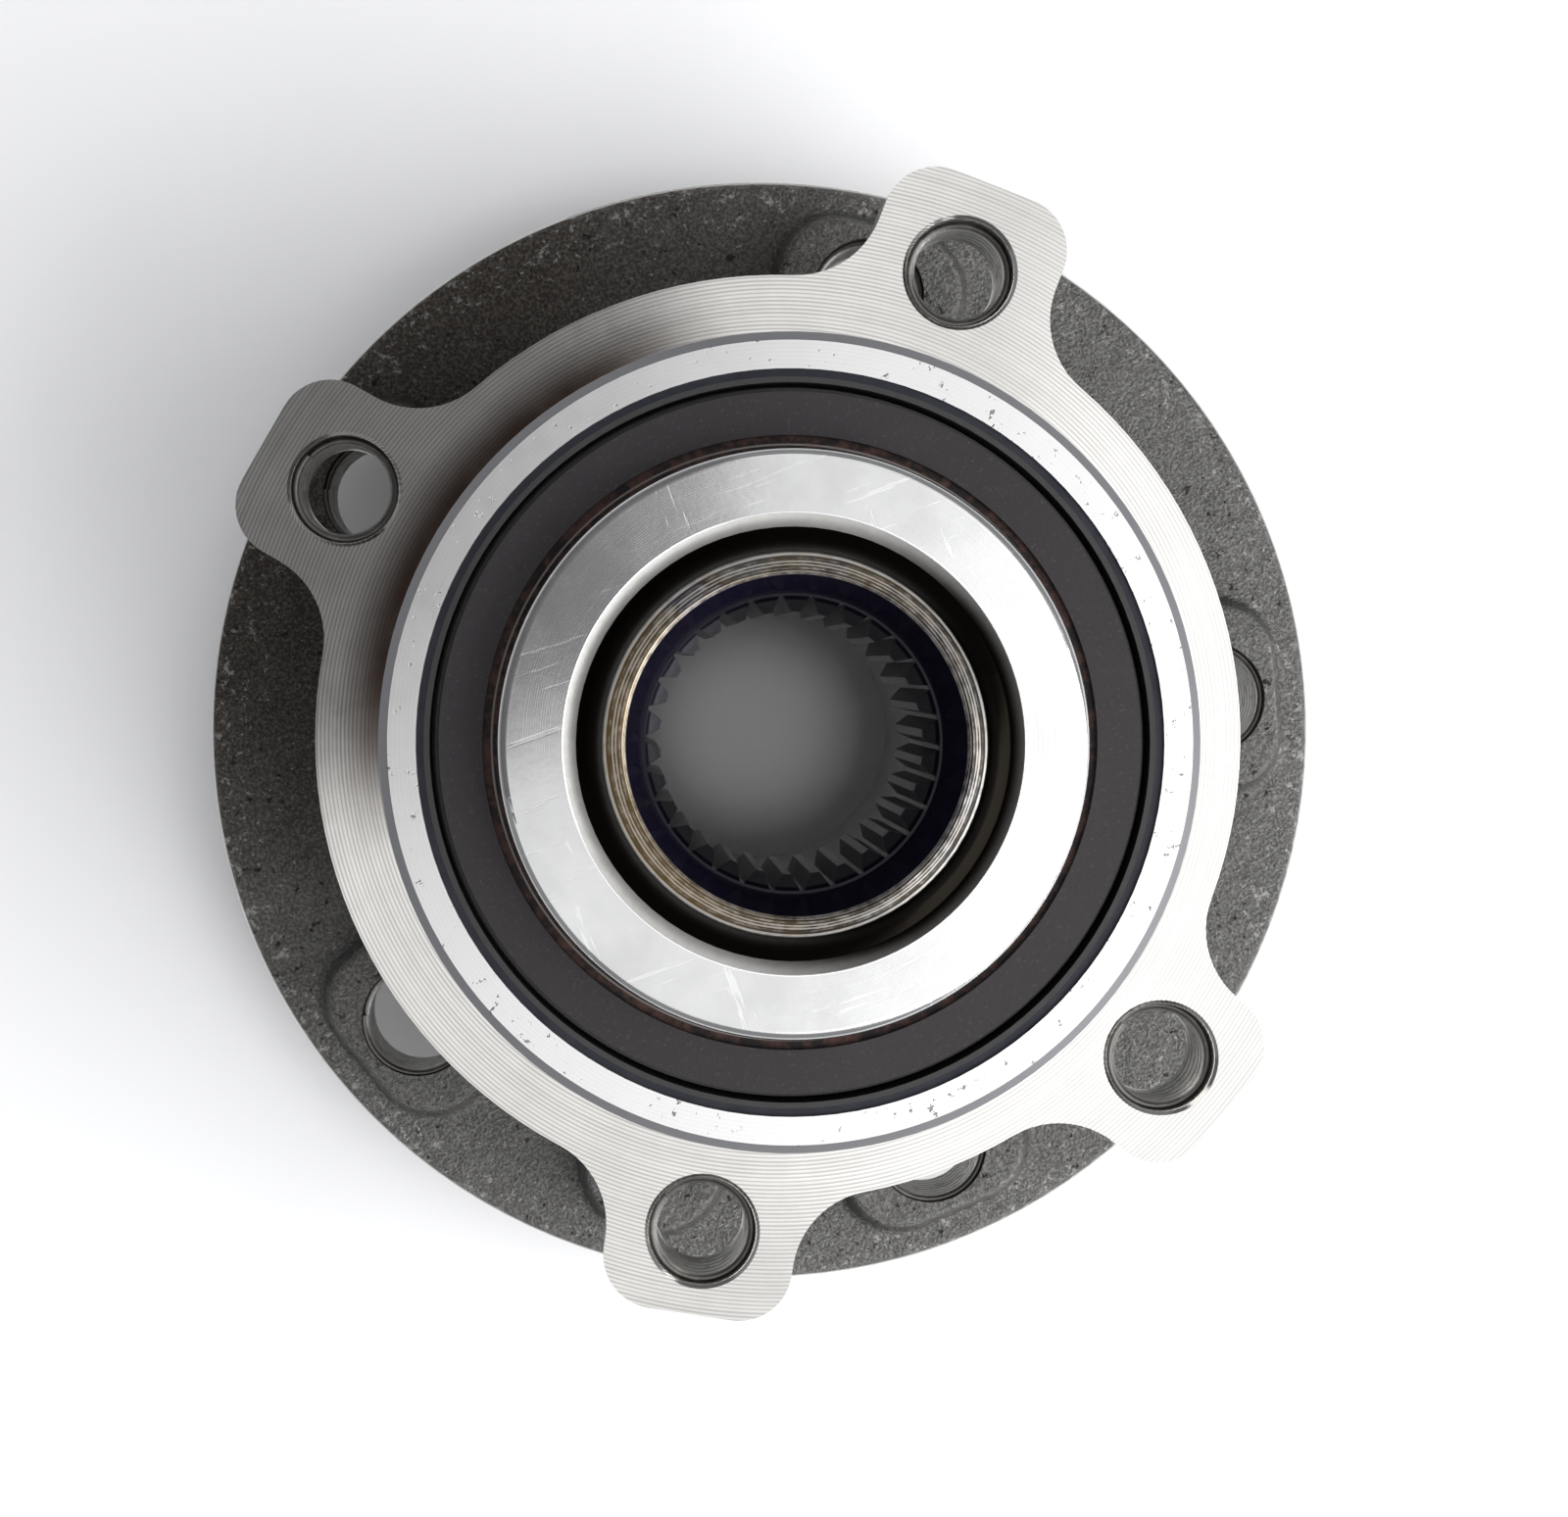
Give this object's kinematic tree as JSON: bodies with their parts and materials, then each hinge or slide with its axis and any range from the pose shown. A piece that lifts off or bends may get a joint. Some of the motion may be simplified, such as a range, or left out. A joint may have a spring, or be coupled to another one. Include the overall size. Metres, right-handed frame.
{
  "type": "wheel hub bearing",
  "caption": "Driven wheel hub unit: a flanged splined spindle turning on two rows of balls in an outer ring with a four-eared knuckle flange, pilot, seals and speed ring.",
  "frame": {"origin": "on the bearing axis, in the plane of the wheel mounting face", "axes": "+Z along the bearing axis, inboard, towards the knuckle and drive shaft; +Y bisects the wider pair of knuckle bolt ears"},
  "size_m": [0.138, 0.138, 0.0931],
  "materials": {
    "raw_forging": "shot-blasted dark forging, machined on the wheel face",
    "turned_steel": "turned steel with fine concentric tool marks",
    "ground_steel": "ground and polished bearing steel",
    "ball_steel": "lapped bearing steel",
    "seal_sheet": "dark steel sheet",
    "seal_rubber": "nitrile rubber, matt black",
    "encoder_rubber": "magnetised ferrite rubber, matt dark grey",
    "cage_polymer": "glass-filled nylon, natural"
  },
  "bodies": {
    "stationary_ring": {"outer_ring": "turned_steel", "outboard_seal_case": "seal_sheet", "outboard_seal_lips": "seal_rubber", "inboard_seal_case": "seal_sheet", "inboard_seal_lips": "seal_rubber"},
    "rotating_hub": {"hub_spindle": "raw_forging", "inner_ring": "ground_steel", "inboard_slinger": "seal_sheet", "encoder_ring": "encoder_rubber"},
    "outboard_cage_body": {"outboard_cage": "cage_polymer"},
    "inboard_cage_body": {"inboard_cage": "cage_polymer"},
    "outboard_ball_01_body": {"outboard_ball_01": "ball_steel"},
    "outboard_ball_02_body": {"outboard_ball_02": "ball_steel"},
    "outboard_ball_03_body": {"outboard_ball_03": "ball_steel"},
    "outboard_ball_04_body": {"outboard_ball_04": "ball_steel"},
    "outboard_ball_05_body": {"outboard_ball_05": "ball_steel"},
    "outboard_ball_06_body": {"outboard_ball_06": "ball_steel"},
    "outboard_ball_07_body": {"outboard_ball_07": "ball_steel"},
    "outboard_ball_08_body": {"outboard_ball_08": "ball_steel"},
    "outboard_ball_09_body": {"outboard_ball_09": "ball_steel"},
    "outboard_ball_10_body": {"outboard_ball_10": "ball_steel"},
    "outboard_ball_11_body": {"outboard_ball_11": "ball_steel"},
    "outboard_ball_12_body": {"outboard_ball_12": "ball_steel"},
    "outboard_ball_13_body": {"outboard_ball_13": "ball_steel"},
    "outboard_ball_14_body": {"outboard_ball_14": "ball_steel"},
    "inboard_ball_01_body": {"inboard_ball_01": "ball_steel"},
    "inboard_ball_02_body": {"inboard_ball_02": "ball_steel"},
    "inboard_ball_03_body": {"inboard_ball_03": "ball_steel"},
    "inboard_ball_04_body": {"inboard_ball_04": "ball_steel"},
    "inboard_ball_05_body": {"inboard_ball_05": "ball_steel"},
    "inboard_ball_06_body": {"inboard_ball_06": "ball_steel"},
    "inboard_ball_07_body": {"inboard_ball_07": "ball_steel"},
    "inboard_ball_08_body": {"inboard_ball_08": "ball_steel"},
    "inboard_ball_09_body": {"inboard_ball_09": "ball_steel"},
    "inboard_ball_10_body": {"inboard_ball_10": "ball_steel"},
    "inboard_ball_11_body": {"inboard_ball_11": "ball_steel"},
    "inboard_ball_12_body": {"inboard_ball_12": "ball_steel"},
    "inboard_ball_13_body": {"inboard_ball_13": "ball_steel"},
    "inboard_ball_14_body": {"inboard_ball_14": "ball_steel"}
  },
  "joints": [
    {"name": "hub_spin", "type": "hinge", "parent": "stationary_ring", "child": "rotating_hub", "pos_m": [0, 0, 0.044], "axis": [0, 0, 1], "continuous": true},
    {"name": "outboard_cage_orbit", "type": "hinge", "parent": "stationary_ring", "child": "outboard_cage_body", "pos_m": [0, 0, 0.033], "axis": [0, 0, 1], "continuous": true},
    {"name": "inboard_cage_orbit", "type": "hinge", "parent": "stationary_ring", "child": "inboard_cage_body", "pos_m": [0, 0, 0.055], "axis": [0, 0, 1], "continuous": true},
    {"name": "outboard_ball_01_roll", "type": "hinge", "parent": "outboard_cage_body", "child": "outboard_ball_01_body", "pos_m": [0.033, 0, 0.033], "axis": [-0.5878, 0, 0.809], "continuous": true},
    {"name": "outboard_ball_02_roll", "type": "hinge", "parent": "outboard_cage_body", "child": "outboard_ball_02_body", "pos_m": [0.02973, 0.01432, 0.033], "axis": [-0.5296, -0.255, 0.809], "continuous": true},
    {"name": "outboard_ball_03_roll", "type": "hinge", "parent": "outboard_cage_body", "child": "outboard_ball_03_body", "pos_m": [0.02058, 0.0258, 0.033], "axis": [-0.3665, -0.4595, 0.809], "continuous": true},
    {"name": "outboard_ball_04_roll", "type": "hinge", "parent": "outboard_cage_body", "child": "outboard_ball_04_body", "pos_m": [0.00734, 0.03217, 0.033], "axis": [-0.1308, -0.573, 0.809], "continuous": true},
    {"name": "outboard_ball_05_roll", "type": "hinge", "parent": "outboard_cage_body", "child": "outboard_ball_05_body", "pos_m": [-0.00734, 0.03217, 0.033], "axis": [0.1308, -0.573, 0.809], "continuous": true},
    {"name": "outboard_ball_06_roll", "type": "hinge", "parent": "outboard_cage_body", "child": "outboard_ball_06_body", "pos_m": [-0.02058, 0.0258, 0.033], "axis": [0.3665, -0.4595, 0.809], "continuous": true},
    {"name": "outboard_ball_07_roll", "type": "hinge", "parent": "outboard_cage_body", "child": "outboard_ball_07_body", "pos_m": [-0.02973, 0.01432, 0.033], "axis": [0.5296, -0.255, 0.809], "continuous": true},
    {"name": "outboard_ball_08_roll", "type": "hinge", "parent": "outboard_cage_body", "child": "outboard_ball_08_body", "pos_m": [-0.033, 0, 0.033], "axis": [0.5878, 0, 0.809], "continuous": true},
    {"name": "outboard_ball_09_roll", "type": "hinge", "parent": "outboard_cage_body", "child": "outboard_ball_09_body", "pos_m": [-0.02973, -0.01432, 0.033], "axis": [0.5296, 0.255, 0.809], "continuous": true},
    {"name": "outboard_ball_10_roll", "type": "hinge", "parent": "outboard_cage_body", "child": "outboard_ball_10_body", "pos_m": [-0.02058, -0.0258, 0.033], "axis": [0.3665, 0.4595, 0.809], "continuous": true},
    {"name": "outboard_ball_11_roll", "type": "hinge", "parent": "outboard_cage_body", "child": "outboard_ball_11_body", "pos_m": [-0.00734, -0.03217, 0.033], "axis": [0.1308, 0.573, 0.809], "continuous": true},
    {"name": "outboard_ball_12_roll", "type": "hinge", "parent": "outboard_cage_body", "child": "outboard_ball_12_body", "pos_m": [0.00734, -0.03217, 0.033], "axis": [-0.1308, 0.573, 0.809], "continuous": true},
    {"name": "outboard_ball_13_roll", "type": "hinge", "parent": "outboard_cage_body", "child": "outboard_ball_13_body", "pos_m": [0.02058, -0.0258, 0.033], "axis": [-0.3665, 0.4595, 0.809], "continuous": true},
    {"name": "outboard_ball_14_roll", "type": "hinge", "parent": "outboard_cage_body", "child": "outboard_ball_14_body", "pos_m": [0.02973, -0.01432, 0.033], "axis": [-0.5296, 0.255, 0.809], "continuous": true},
    {"name": "inboard_ball_01_roll", "type": "hinge", "parent": "inboard_cage_body", "child": "inboard_ball_01_body", "pos_m": [0.033, 0, 0.055], "axis": [0.5878, 0, 0.809], "continuous": true},
    {"name": "inboard_ball_02_roll", "type": "hinge", "parent": "inboard_cage_body", "child": "inboard_ball_02_body", "pos_m": [0.02973, 0.01432, 0.055], "axis": [0.5296, 0.255, 0.809], "continuous": true},
    {"name": "inboard_ball_03_roll", "type": "hinge", "parent": "inboard_cage_body", "child": "inboard_ball_03_body", "pos_m": [0.02058, 0.0258, 0.055], "axis": [0.3665, 0.4595, 0.809], "continuous": true},
    {"name": "inboard_ball_04_roll", "type": "hinge", "parent": "inboard_cage_body", "child": "inboard_ball_04_body", "pos_m": [0.00734, 0.03217, 0.055], "axis": [0.1308, 0.573, 0.809], "continuous": true},
    {"name": "inboard_ball_05_roll", "type": "hinge", "parent": "inboard_cage_body", "child": "inboard_ball_05_body", "pos_m": [-0.00734, 0.03217, 0.055], "axis": [-0.1308, 0.573, 0.809], "continuous": true},
    {"name": "inboard_ball_06_roll", "type": "hinge", "parent": "inboard_cage_body", "child": "inboard_ball_06_body", "pos_m": [-0.02058, 0.0258, 0.055], "axis": [-0.3665, 0.4595, 0.809], "continuous": true},
    {"name": "inboard_ball_07_roll", "type": "hinge", "parent": "inboard_cage_body", "child": "inboard_ball_07_body", "pos_m": [-0.02973, 0.01432, 0.055], "axis": [-0.5296, 0.255, 0.809], "continuous": true},
    {"name": "inboard_ball_08_roll", "type": "hinge", "parent": "inboard_cage_body", "child": "inboard_ball_08_body", "pos_m": [-0.033, 0, 0.055], "axis": [-0.5878, 0, 0.809], "continuous": true},
    {"name": "inboard_ball_09_roll", "type": "hinge", "parent": "inboard_cage_body", "child": "inboard_ball_09_body", "pos_m": [-0.02973, -0.01432, 0.055], "axis": [-0.5296, -0.255, 0.809], "continuous": true},
    {"name": "inboard_ball_10_roll", "type": "hinge", "parent": "inboard_cage_body", "child": "inboard_ball_10_body", "pos_m": [-0.02058, -0.0258, 0.055], "axis": [-0.3665, -0.4595, 0.809], "continuous": true},
    {"name": "inboard_ball_11_roll", "type": "hinge", "parent": "inboard_cage_body", "child": "inboard_ball_11_body", "pos_m": [-0.00734, -0.03217, 0.055], "axis": [-0.1308, -0.573, 0.809], "continuous": true},
    {"name": "inboard_ball_12_roll", "type": "hinge", "parent": "inboard_cage_body", "child": "inboard_ball_12_body", "pos_m": [0.00734, -0.03217, 0.055], "axis": [0.1308, -0.573, 0.809], "continuous": true},
    {"name": "inboard_ball_13_roll", "type": "hinge", "parent": "inboard_cage_body", "child": "inboard_ball_13_body", "pos_m": [0.02058, -0.0258, 0.055], "axis": [0.3665, -0.4595, 0.809], "continuous": true},
    {"name": "inboard_ball_14_roll", "type": "hinge", "parent": "inboard_cage_body", "child": "inboard_ball_14_body", "pos_m": [0.02973, -0.01432, 0.055], "axis": [0.5296, -0.255, 0.809], "continuous": true}
  ],
  "couplings": [
    {"joint": "outboard_cage_orbit", "follows": "hub_spin", "ratio": 0.42707},
    {"joint": "inboard_cage_orbit", "follows": "hub_spin", "ratio": 0.42707},
    {"joint": "outboard_ball_01_roll", "follows": "hub_spin", "ratio": -2.7141},
    {"joint": "outboard_ball_02_roll", "follows": "hub_spin", "ratio": -2.7141},
    {"joint": "outboard_ball_03_roll", "follows": "hub_spin", "ratio": -2.7141},
    {"joint": "outboard_ball_04_roll", "follows": "hub_spin", "ratio": -2.7141},
    {"joint": "outboard_ball_05_roll", "follows": "hub_spin", "ratio": -2.7141},
    {"joint": "outboard_ball_06_roll", "follows": "hub_spin", "ratio": -2.7141},
    {"joint": "outboard_ball_07_roll", "follows": "hub_spin", "ratio": -2.7141},
    {"joint": "outboard_ball_08_roll", "follows": "hub_spin", "ratio": -2.7141},
    {"joint": "outboard_ball_09_roll", "follows": "hub_spin", "ratio": -2.7141},
    {"joint": "outboard_ball_10_roll", "follows": "hub_spin", "ratio": -2.7141},
    {"joint": "outboard_ball_11_roll", "follows": "hub_spin", "ratio": -2.7141},
    {"joint": "outboard_ball_12_roll", "follows": "hub_spin", "ratio": -2.7141},
    {"joint": "outboard_ball_13_roll", "follows": "hub_spin", "ratio": -2.7141},
    {"joint": "outboard_ball_14_roll", "follows": "hub_spin", "ratio": -2.7141},
    {"joint": "inboard_ball_01_roll", "follows": "hub_spin", "ratio": -2.7141},
    {"joint": "inboard_ball_02_roll", "follows": "hub_spin", "ratio": -2.7141},
    {"joint": "inboard_ball_03_roll", "follows": "hub_spin", "ratio": -2.7141},
    {"joint": "inboard_ball_04_roll", "follows": "hub_spin", "ratio": -2.7141},
    {"joint": "inboard_ball_05_roll", "follows": "hub_spin", "ratio": -2.7141},
    {"joint": "inboard_ball_06_roll", "follows": "hub_spin", "ratio": -2.7141},
    {"joint": "inboard_ball_07_roll", "follows": "hub_spin", "ratio": -2.7141},
    {"joint": "inboard_ball_08_roll", "follows": "hub_spin", "ratio": -2.7141},
    {"joint": "inboard_ball_09_roll", "follows": "hub_spin", "ratio": -2.7141},
    {"joint": "inboard_ball_10_roll", "follows": "hub_spin", "ratio": -2.7141},
    {"joint": "inboard_ball_11_roll", "follows": "hub_spin", "ratio": -2.7141},
    {"joint": "inboard_ball_12_roll", "follows": "hub_spin", "ratio": -2.7141},
    {"joint": "inboard_ball_13_roll", "follows": "hub_spin", "ratio": -2.7141},
    {"joint": "inboard_ball_14_roll", "follows": "hub_spin", "ratio": -2.7141}
  ]
}
